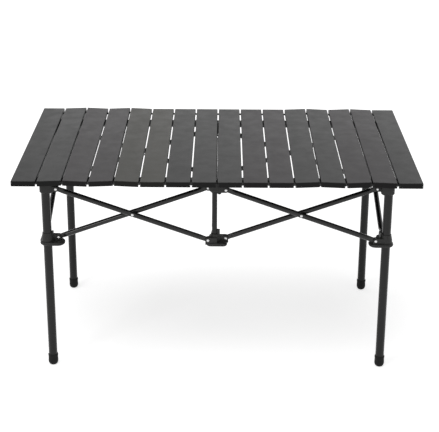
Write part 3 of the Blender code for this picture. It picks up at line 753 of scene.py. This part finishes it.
def brace_stations(length):
    """List along, half height, half thickness and press of a brace's rings, from pin to pin."""
    half = TONGUE_THICKNESS / 2
    stations = []
    for step in range(6):
        turn = math.pi / 2 * (1 - (step + 0.6) / 6.6)
        stations.append((-TONGUE_HALF * math.sin(turn), TONGUE_HALF * math.cos(turn), half, TONGUE_PRESS))
    stations += [(0.0, TONGUE_HALF, half, TONGUE_PRESS), (TONGUE_LENGTH, TONGUE_HALF, half, TONGUE_PRESS)]
    for step in range(1, 8):
        part = step / 7
        ease = part * part * (3 - 2 * part)
        stations.append((
            TONGUE_LENGTH + TONGUE_FLARE * part,
            TONGUE_HALF + (BRACE_RADIUS - TONGUE_HALF) * ease,
            half + (BRACE_RADIUS - half) * ease,
            TONGUE_PRESS + (1 - TONGUE_PRESS) * ease,
        ))
    middle = length / 2
    for step in range(6):
        part = step / 5
        ease = part * part * (3 - 2 * part)
        stations.append((
            middle - CROSSING_FLAT - CROSSING_BLEND * (1 - part),
            BRACE_RADIUS + 0.0002 * ease,
            BRACE_RADIUS + (CROSSING_HALF - BRACE_RADIUS) * ease,
            1 + 0.25 * ease,
        ))
    mirrored = [(length - along, *rest) for along, *rest in reversed(stations)]
    return stations + mirrored


def brace_skin(start, end, side):
    """Make a tube between two pins, pressed flat at its ends and a little where it is crossed."""
    start, end, side = Vector(start), Vector(end), Vector(side)
    along = (end - start).normalized()
    up = along.cross(side)
    rings = []
    for place, half_height, half_thickness, press in brace_stations((end - start).length):
        ring = []
        for index in range(BRACE_SIDES):
            turn = 2 * math.pi * (index + 0.5) / BRACE_SIDES
            flat = max(-1.0, min(1.0, press * math.sin(turn)))
            across = up * half_height * math.cos(turn) + side * half_thickness * flat
            ring.append(start + along * place + across)
        rings.append(ring)
    return loft(rings)


def rivet_skin(centre, axis, near, far):
    """Make a rivet with a domed head at its near face and a rolled end at its far face."""
    head = []
    for step in range(7):
        turn = math.pi / 2 * (1 - (step + 0.35) / 6.35)
        head.append((RIVET_HEAD * math.cos(turn), near + RIVET_RISE * math.sin(turn) + 0.0002))
    head += [(RIVET_HEAD, near), (PIN_RADIUS, near)]
    rolled = [
        (PIN_RADIUS, -far),
        (RIVET_HEAD * 0.92, -far),
        (RIVET_HEAD * 0.94, -far - 0.0005),
        (RIVET_HEAD * 0.70, -far - 0.0011),
        (RIVET_HEAD * 0.48, -far - 0.0009),
        (RIVET_HEAD * 0.34, -far - 0.0001),
        (RIVET_HEAD * 0.10, -far + 0.0002),
    ]
    return lathe(head + rolled, centre, axis, RIVET_SIDES)


def make_brace(name, start, end, outward, partner_step, materials):
    """Add a brace and the rivets that turn with it, with one through its partner if that is a step away."""
    paint, silver = materials
    start, end, outward = Vector(start), Vector(end), Vector(outward)
    add_piece(f"{name}_tube", brace_skin(start, end, outward), paint, name, [name])
    for label, point in (("upper", start), ("lower", end)):
        add_piece(f"{name}_{label}_rivet", rivet_skin(point, outward, ARM_HALF, ARM_HALF), silver, name)
    if partner_step:
        near, far = CROSSING_HALF + max(0.0, partner_step), CROSSING_HALF + max(0.0, -partner_step)
        skin = rivet_skin((start + end) / 2, outward, near, far)
        add_piece(f"{name}_crossing_rivet", skin, silver, name)


def make_braces(leg_x, leg_y):
    """Add the crossed braces of the four long bays and the three side bays."""
    paint = coated("brace_paint_coat", BRACE_COLOUR, 0.25, 0.36, 2200.0)
    silver = steel("rivet_nickel", NICKEL_COLOUR, 0.34, 5200.0)
    materials = (paint, silver)
    for row_name, row in ROWS.items():
        for side_name, column in SIDES.items():
            outer_x, inner_x = column * (leg_x - PIN_REACH_CORNER), column * PIN_REACH_X
            high_y, low_y = row * leg_y + column * BRACE_STEP, row * leg_y - column * BRACE_STEP
            name = f"{row_name}_{side_name}_brace"
            high = ((outer_x, high_y, UPPER_PIN_Z), (inner_x, high_y, LOWER_PIN_Z))
            low = ((outer_x, low_y, LOWER_PIN_Z), (inner_x, low_y, UPPER_PIN_Z))
            partner_step = -2 * row * column * BRACE_STEP
            make_brace(f"{name}_high", *high, (0, row, 0), partner_step, materials)
            make_brace(f"{name}_low", *low, (0, row, 0), 0.0, materials)
    pin_y = leg_y - PIN_REACH_Y
    for place, x in (("left", -leg_x), ("centre", 0.0), ("right", leg_x)):
        name = f"{place}_side_brace"
        front_high = ((x + BRACE_STEP, -pin_y, UPPER_PIN_Z), (x + BRACE_STEP, pin_y, LOWER_PIN_Z))
        back_high = ((x - BRACE_STEP, pin_y, UPPER_PIN_Z), (x - BRACE_STEP, -pin_y, LOWER_PIN_Z))
        make_brace(f"{name}_front_high", *front_high, (1, 0, 0), -2 * BRACE_STEP, materials)
        make_brace(f"{name}_back_high", *back_high, (1, 0, 0), 0.0, materials)


# Hubs

def arm_box(hub, direction, side, reach, half, z_low, z_high, start=0.0):
    """Return the two corners of a box that runs from a hub's axis along one arm."""
    along = Vector((direction[0], direction[1], 0))
    across = Vector((abs(direction[1]), abs(direction[0]), 0))
    middle = Vector((hub[0], hub[1], 0)) + across * side
    corners = [middle + along * start - across * half, middle + along * reach + across * half]
    low = [min(corners[0][axis], corners[1][axis]) for axis in (0, 1)]
    high = [max(corners[0][axis], corners[1][axis]) for axis in (0, 1)]
    return (*low, z_low), (*high, z_high)


def arm_ear(hub, direction, side, reach, pin_z, foot_z):
    """Make an arm whose outer end is round about its pin and whose foot is flat."""
    steps = 2 * ARC_STEPS
    turns = [math.radians(90 - 180 * step / steps) for step in range(steps + 1)]
    outline = [(reach + EAR_RADIUS * math.cos(turn), pin_z + EAR_RADIUS * math.sin(turn)) for turn in turns]
    if foot_z < pin_z - EAR_RADIUS:
        outline = outline[:ARC_STEPS + 1] + [(reach + EAR_RADIUS, foot_z)]
    outline += [(0, min(foot_z, pin_z - EAR_RADIUS)), (0, pin_z + EAR_RADIUS)]
    sign = direction[0] + direction[1]
    if direction[0]:
        outline = [(hub[0] + sign * u, z) for u, z in outline]
        return prism(outline, hub[1] + side - ARM_HALF, hub[1] + side + ARM_HALF, "Y")
    outline = [(hub[1] + sign * u, z) for u, z in outline]
    return prism(outline, hub[0] + side - ARM_HALF, hub[0] + side + ARM_HALF, "X")


def arm_pin_hole(hub, direction, side, reach, pin_z):
    """Make the round hole of an arm's two ears."""
    along = Vector((direction[0], direction[1], 0))
    across = Vector((abs(direction[1]), abs(direction[0]), 0))
    centre = Vector((hub[0], hub[1], pin_z)) + along * reach + across * side
    half = 2 * ARM_HALF
    profile = [(PIN_RADIUS + CLEARANCE, 0.0), (PIN_RADIUS + CLEARANCE, 2 * half)]
    return lathe(profile, centre - across * half, across, RIVET_SIDES)


def hub_arms(column, row, upper):
    """List the arms of a hub as direction, sideways step and pin reach."""
    step = BRACE_STEP if upper else -BRACE_STEP
    if column == 0:
        arms = [((sign, 0), -sign * step, PIN_REACH_X) for sign in (-1, 1)]
    else:
        arms = [((-column, 0), column * step, PIN_REACH_CORNER)]
    arms.append(((0, -row), -row * step, PIN_REACH_Y))
    return arms


def arm_cuts(hub, arms, pin_z, z_low, z_high):
    """Return the slots for the brace ends and the holes for their rivets."""
    cuts = []
    for direction, side, reach in arms:
        ends = (reach + 2 * EAR_RADIUS, SLOT_HALF, z_low, z_high, reach - SLOT_START)
        cuts.append(("DIFFERENCE", box(*arm_box(hub, direction, side, *ends))))
        cuts.append(("DIFFERENCE", arm_pin_hole(hub, direction, side, reach, pin_z)))
    return cuts


def bore_cut(x, y, radius, low, high):
    """Return a round upright cut."""
    profile = [(radius + CLEARANCE, low), (radius + CLEARANCE, high)]
    return "DIFFERENCE", lathe(profile, (x, y, 0), (0, 0, 1), TUBE_SIDES)


def upper_hub_skin(hub, column, row, rail_z):
    """Make the moulding at the top of a leg or centre post, with its cradle for the rail."""
    outboard = column * HUB_OUTBOARD if column else HUB_HALF_X
    inboard = -column * HUB_HALF_X if column else -HUB_HALF_X
    ends = sorted((hub[0] + outboard, hub[0] + inboard))
    low, high = (ends[0], hub[1] - HUB_HALF_Y), (ends[1], hub[1] + HUB_HALF_Y)
    bottom = UPPER_HUB_BOTTOM - CORNER_DROP if column else UPPER_HUB_BOTTOM
    taper = CORNER_TAPER if column else HUB_TAPER
    layers = [(taper, bottom), (0.0, bottom + taper), (0.0, rail_z)]
    arms = hub_arms(column, row, True)
    steps = []
    for direction, side, reach in arms:
        ear = arm_ear(hub, direction, side, reach, UPPER_PIN_Z, UPPER_PIN_Z - EAR_RADIUS)
        steps.append(("UNION", ear))
    if column == 0:
        axis_x, radius = hub[0] + row * POST_SIDE_STEP, POST_RADIUS
        boss_x = hub[0] - row * (POST_RADIUS + 0.0048 - POST_SIDE_STEP)
        profile = [(0.0012, -BOSS_DROP), (0.0036, -BOSS_DROP + 0.0004), (0.0048, -BOSS_DROP + 0.0018)]
        profile += [(0.0052, -BOSS_DROP + 0.0042), (0.0052, 0.006)]
        boss = lathe(profile, (boss_x, hub[1], UPPER_HUB_BOTTOM), (0, 0, 1), RIVET_SIDES)
    else:
        axis_x, radius = hub[0], LEG_RADIUS
        profile = [(0.0008, -0.0016), (0.0014, -0.0009), (0.0018, 0.004)]
        profile = [(LEG_RADIUS + past, along) for past, along in profile]
        boss = lathe(profile, (axis_x, hub[1], bottom), (0, 0, 1), TUBE_SIDES)
    steps.append(("UNION", boss))
    steps += arm_cuts(hub, arms, UPPER_PIN_Z, UPPER_HUB_BOTTOM - EAR_RADIUS, UPPER_PIN_Z + SLOT_START)
    trough_reach = HUB_HALF_X + EAR_RADIUS
    trough = [(RAIL_RADIUS + CLEARANCE, along) for along in (-trough_reach, trough_reach)]
    steps.append(("DIFFERENCE", lathe(trough, (hub[0], hub[1], rail_z), (1, 0, 0), TUBE_SIDES)))
    steps.append(bore_cut(axis_x, hub[1], radius, UPPER_HUB_BOTTOM - 2 * EAR_RADIUS, TUBE_TOP + CLEARANCE))
    return shaped(layered(low, high, HUB_CORNER, layers), steps, HUB_EDGE_ROUND)


def lower_hub_skin(hub, column, row):
    """Make the sliding moulding of a leg, or the one that seats a centre post."""
    arms = hub_arms(column, row, False)
    if column == 0:
        low = (hub[0] - FLANGE_CENTRE_HALF, hub[1] - FLANGE_CENTRE_HALF_Y)
        high = (hub[0] + FLANGE_CENTRE_HALF, hub[1] + FLANGE_CENTRE_HALF_Y)
        corner = FLANGE_CENTRE_CORNER
    else:
        inboard = PIN_REACH_CORNER + FLANGE_PAST_PIN
        ends = sorted((hub[0] + column * FLANGE_OUTBOARD, hub[0] - column * inboard))
        low, high = (ends[0], hub[1] - FLANGE_HALF_Y), (ends[1], hub[1] + FLANGE_HALF_Y)
        corner = FLANGE_END_CORNER
    rim = round_rim(FLANGE_BOTTOM, FLANGE_TOP)
    side = arms[-1][1]
    ends = sorted((hub[1], hub[1] - row * (PIN_REACH_Y + FLANGE_ARM_PAST_PIN)))
    arm_low = (hub[0] + side - FLANGE_ARM_HALF, ends[0])
    arm_high = (hub[0] + side + FLANGE_ARM_HALF, ends[1])
    steps = [("UNION", layered(arm_low, arm_high, FLANGE_CENTRE_CORNER, rim))]
    root_z = (FLANGE_BOTTOM + FLANGE_TOP) / 2
    for direction, arm_side, reach in arms:
        steps.append(("UNION", arm_ear(hub, direction, arm_side, reach, LOWER_PIN_Z, root_z)))
    if column == 0:
        axis_x, radius = hub[0] + row * POST_SIDE_STEP, POST_RADIUS
        outer, rise, flare, bore_low = POST_RADIUS + SOCKET_WALL, POST_SOCKET_RISE, 0.0008, FLANGE_TOP
        stub_x = axis_x - row * (radius + STUB_WIDTH / 2)
        stub_low = (stub_x - STUB_WIDTH / 2, hub[1] - STUB_WIDTH / 2, root_z)
        stub_high = (stub_x + STUB_WIDTH / 2, hub[1] + STUB_WIDTH / 2, LOWER_PIN_Z + STUB_RISE)
    else:
        axis_x, radius = hub[0], LEG_RADIUS
        outer, rise, flare, bore_low = COLLAR_RADIUS, COLLAR_RISE, COLLAR_FLARE, FLANGE_BOTTOM - EAR_RADIUS
        stub_x = axis_x - column * (LEG_RADIUS + 0.0022)
        stub_low = (stub_x - 0.0022, hub[1] - LATCH_WIDTH / 2, root_z)
        stub_high = (stub_x + 0.0022, hub[1] + LATCH_WIDTH / 2, LOWER_PIN_Z + COLLAR_RISE + LATCH_RISE)
    top = LOWER_PIN_Z + rise
    profile = [(outer + flare, root_z), (outer + flare, LOWER_PIN_Z)]
    profile += [(outer, top - 0.004), (outer - 0.0006, top)]
    steps.append(("UNION", lathe(profile, (axis_x, hub[1], 0), (0, 0, 1), TUBE_SIDES)))
    steps.append(("UNION", box(stub_low, stub_high)))
    slot_top = LOWER_PIN_Z + COLLAR_RISE + EAR_RADIUS
    steps += arm_cuts(hub, arms, LOWER_PIN_Z, FLANGE_TOP, slot_top)
    steps.append(bore_cut(axis_x, hub[1], radius, bore_low, slot_top))
    return shaped(layered(low, high, corner, rim), steps, HUB_EDGE_ROUND)


def make_hubs(leg_x, leg_y, rail_z):
    """Add the six upper and six lower hubs."""
    # The hub plastic carries a painted highlight along its sharp edges
    plastic = coated("hub_nylon", HUB_COLOUR, 0.48, 0.32, 3000.0, peel=0.00008, cloud=0.12, edge_highlight=0.02)
    for row_name, row in ROWS.items():
        for place, column in (("left", -1), ("centre", 0), ("right", 1)):
            hub = (column * leg_x, row * leg_y)
            post = f"{row_name}_{place}"
            holder = post if column == 0 else f"{post}_leg"
            name = f"{post}_upper_hub"
            skin = upper_hub_skin(hub, column, row, rail_z)
            add_piece(f"{name}_moulding", skin, plastic, holder, [name])
            name = f"{post}_lower_hub"
            skin = lower_hub_skin(hub, column, row)
            add_piece(f"{name}_moulding", skin, plastic, name, [name])


# Floor, light and camera

def seen_rays(tree):
    """Return 1 for rays that see the background: camera, glossy and transmission rays."""
    rays = add_node(tree, "ShaderNodeLightPath")
    direct = {0: rays.outputs["Is Camera Ray"], 1: rays.outputs["Is Glossy Ray"]}
    seen = add_node(tree, "ShaderNodeMath", direct)
    total = add_node(tree, "ShaderNodeMath", {0: seen.outputs[0], 1: rays.outputs["Is Transmission Ray"]})
    total.use_clamp = True
    return total.outputs[0]


def make_floor():
    """Lay a plain pale floor that keeps the table's soft shadow."""
    bm = bmesh.new()
    signs = ((-1, -1), (1, -1), (1, 1), (-1, 1))
    bm.faces.new([bm.verts.new((FLOOR_REACH * x, FLOOR_REACH * y, 0.0)) for x, y in signs])
    material = bpy.data.materials.new("floor_white")
    material.use_nodes = True
    tree = material.node_tree
    shader = tree.nodes["Principled BSDF"]
    shader.inputs["Base Color"].default_value = (*FLOOR_COLOUR, 1.0)
    shader.inputs["Roughness"].default_value = 0.9
    shader.inputs["Specular IOR Level"].default_value = 0.0
    shader.inputs["Emission Color"].default_value = (1.0, 1.0, 1.0, 1.0)
    coords = add_node(tree, "ShaderNodeTexCoord").outputs["Object"]
    far = add_node(tree, "ShaderNodeVectorMath", {0: coords}, operation="LENGTH").outputs["Value"]
    near_lift, far_lift = FLOOR_LIFTS
    lift = product(tree, seen_rays(tree), spread(tree, far, near_lift, far_lift, *FLOOR_LIFT_PLACES))
    tree.links.new(lift, shader.inputs["Emission Strength"])
    clear = add_node(tree, "ShaderNodeBsdfTransparent").outputs[0]
    under = add_node(tree, "ShaderNodeNewGeometry").outputs["Backfacing"]
    sockets = {0: under, 1: shader.outputs[0], 2: clear}
    surface = add_node(tree, "ShaderNodeMixShader", sockets).outputs[0]
    tree.links.new(surface, tree.nodes["Material Output"].inputs["Surface"])
    floor = finish_mesh("floor", bm, material)


def make_world():
    """Set a white world for rays that see it, and a softer one that lights the table."""
    world = bpy.data.worlds.new("studio")
    bpy.context.scene.world = world
    world.use_nodes = True
    tree = world.node_tree
    background = tree.nodes["Background"]
    background.inputs["Color"].default_value = (1.0, 1.0, 1.0, 1.0)
    strength = spread(tree, seen_rays(tree), WORLD_FILL, 1.0, 0.0, 1.0)
    tree.links.new(strength, background.inputs["Strength"])


def add_lamp(name, place, target, size, power):
    """Hang a square soft lamp that faces a point."""
    data = bpy.data.lights.new(name, "AREA")
    data.shape = "RECTANGLE"
    data.size, data.size_y = size
    data.energy = power
    lamp = bpy.data.objects.new(name, data)
    bpy.context.scene.collection.objects.link(lamp)
    lamp.location = place
    lamp.rotation_euler = (Vector(target) - Vector(place)).to_track_quat("-Z", "Y").to_euler()


def make_lamps():
    """Light the table from a broad overhead lamp and a smaller one high at the front left."""
    add_lamp("overhead", OVERHEAD_PLACE, LAMP_TARGET, OVERHEAD_SIZE, OVERHEAD_POWER)
    add_lamp("front_left", FRONT_PLACE, LAMP_TARGET, FRONT_SIZE, FRONT_POWER)


def make_camera():
    """Place the camera as solved from the photograph."""
    yaw, pitch, roll = (math.radians(angle) for angle in (CAMERA_YAW, CAMERA_PITCH, CAMERA_ROLL))
    forward = Vector((math.sin(yaw) * math.cos(pitch), math.cos(yaw) * math.cos(pitch), -math.sin(pitch)))
    level = Vector((math.cos(yaw), -math.sin(yaw), 0))
    raised = level.cross(forward)
    right = math.cos(roll) * level + math.sin(roll) * raised
    up = math.cos(roll) * raised - math.sin(roll) * level
    data = bpy.data.cameras.new("camera")
    data.sensor_width = 36.0
    data.lens = FOCAL_PIXELS / PHOTO_WIDTH * data.sensor_width
    data.shift_y = CAMERA_SHIFT_PIXELS / PHOTO_WIDTH
    camera = bpy.data.objects.new("camera", data)
    bpy.context.scene.collection.objects.link(camera)
    rotation = Matrix((right, up, -forward)).transposed()
    camera.matrix_world = Matrix.Translation(CAMERA_PLACE) @ rotation.to_4x4()
    bpy.context.scene.camera = camera


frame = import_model()

leg_low, leg_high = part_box("front_right_leg")
LEG_X = (leg_low.x + leg_high.x) / 2
LEG_Y = -(leg_low.y + leg_high.y) / 2
RAIL_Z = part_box("front_rail_left")[1].z - RAIL_RADIUS
HALF_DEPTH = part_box("slat_01")[1].y
POINTS = gap_points(frame["joints"])

make_slats(POINTS, HALF_DEPTH)
make_cords(POINTS, HALF_DEPTH)
make_rails(RAIL_Z)
make_legs()
make_braces(LEG_X, LEG_Y)
make_hubs(LEG_X, LEG_Y, RAIL_Z)
make_floor()
make_world()
make_lamps()
make_camera()
bpy.context.scene.view_settings.view_transform = "Standard"
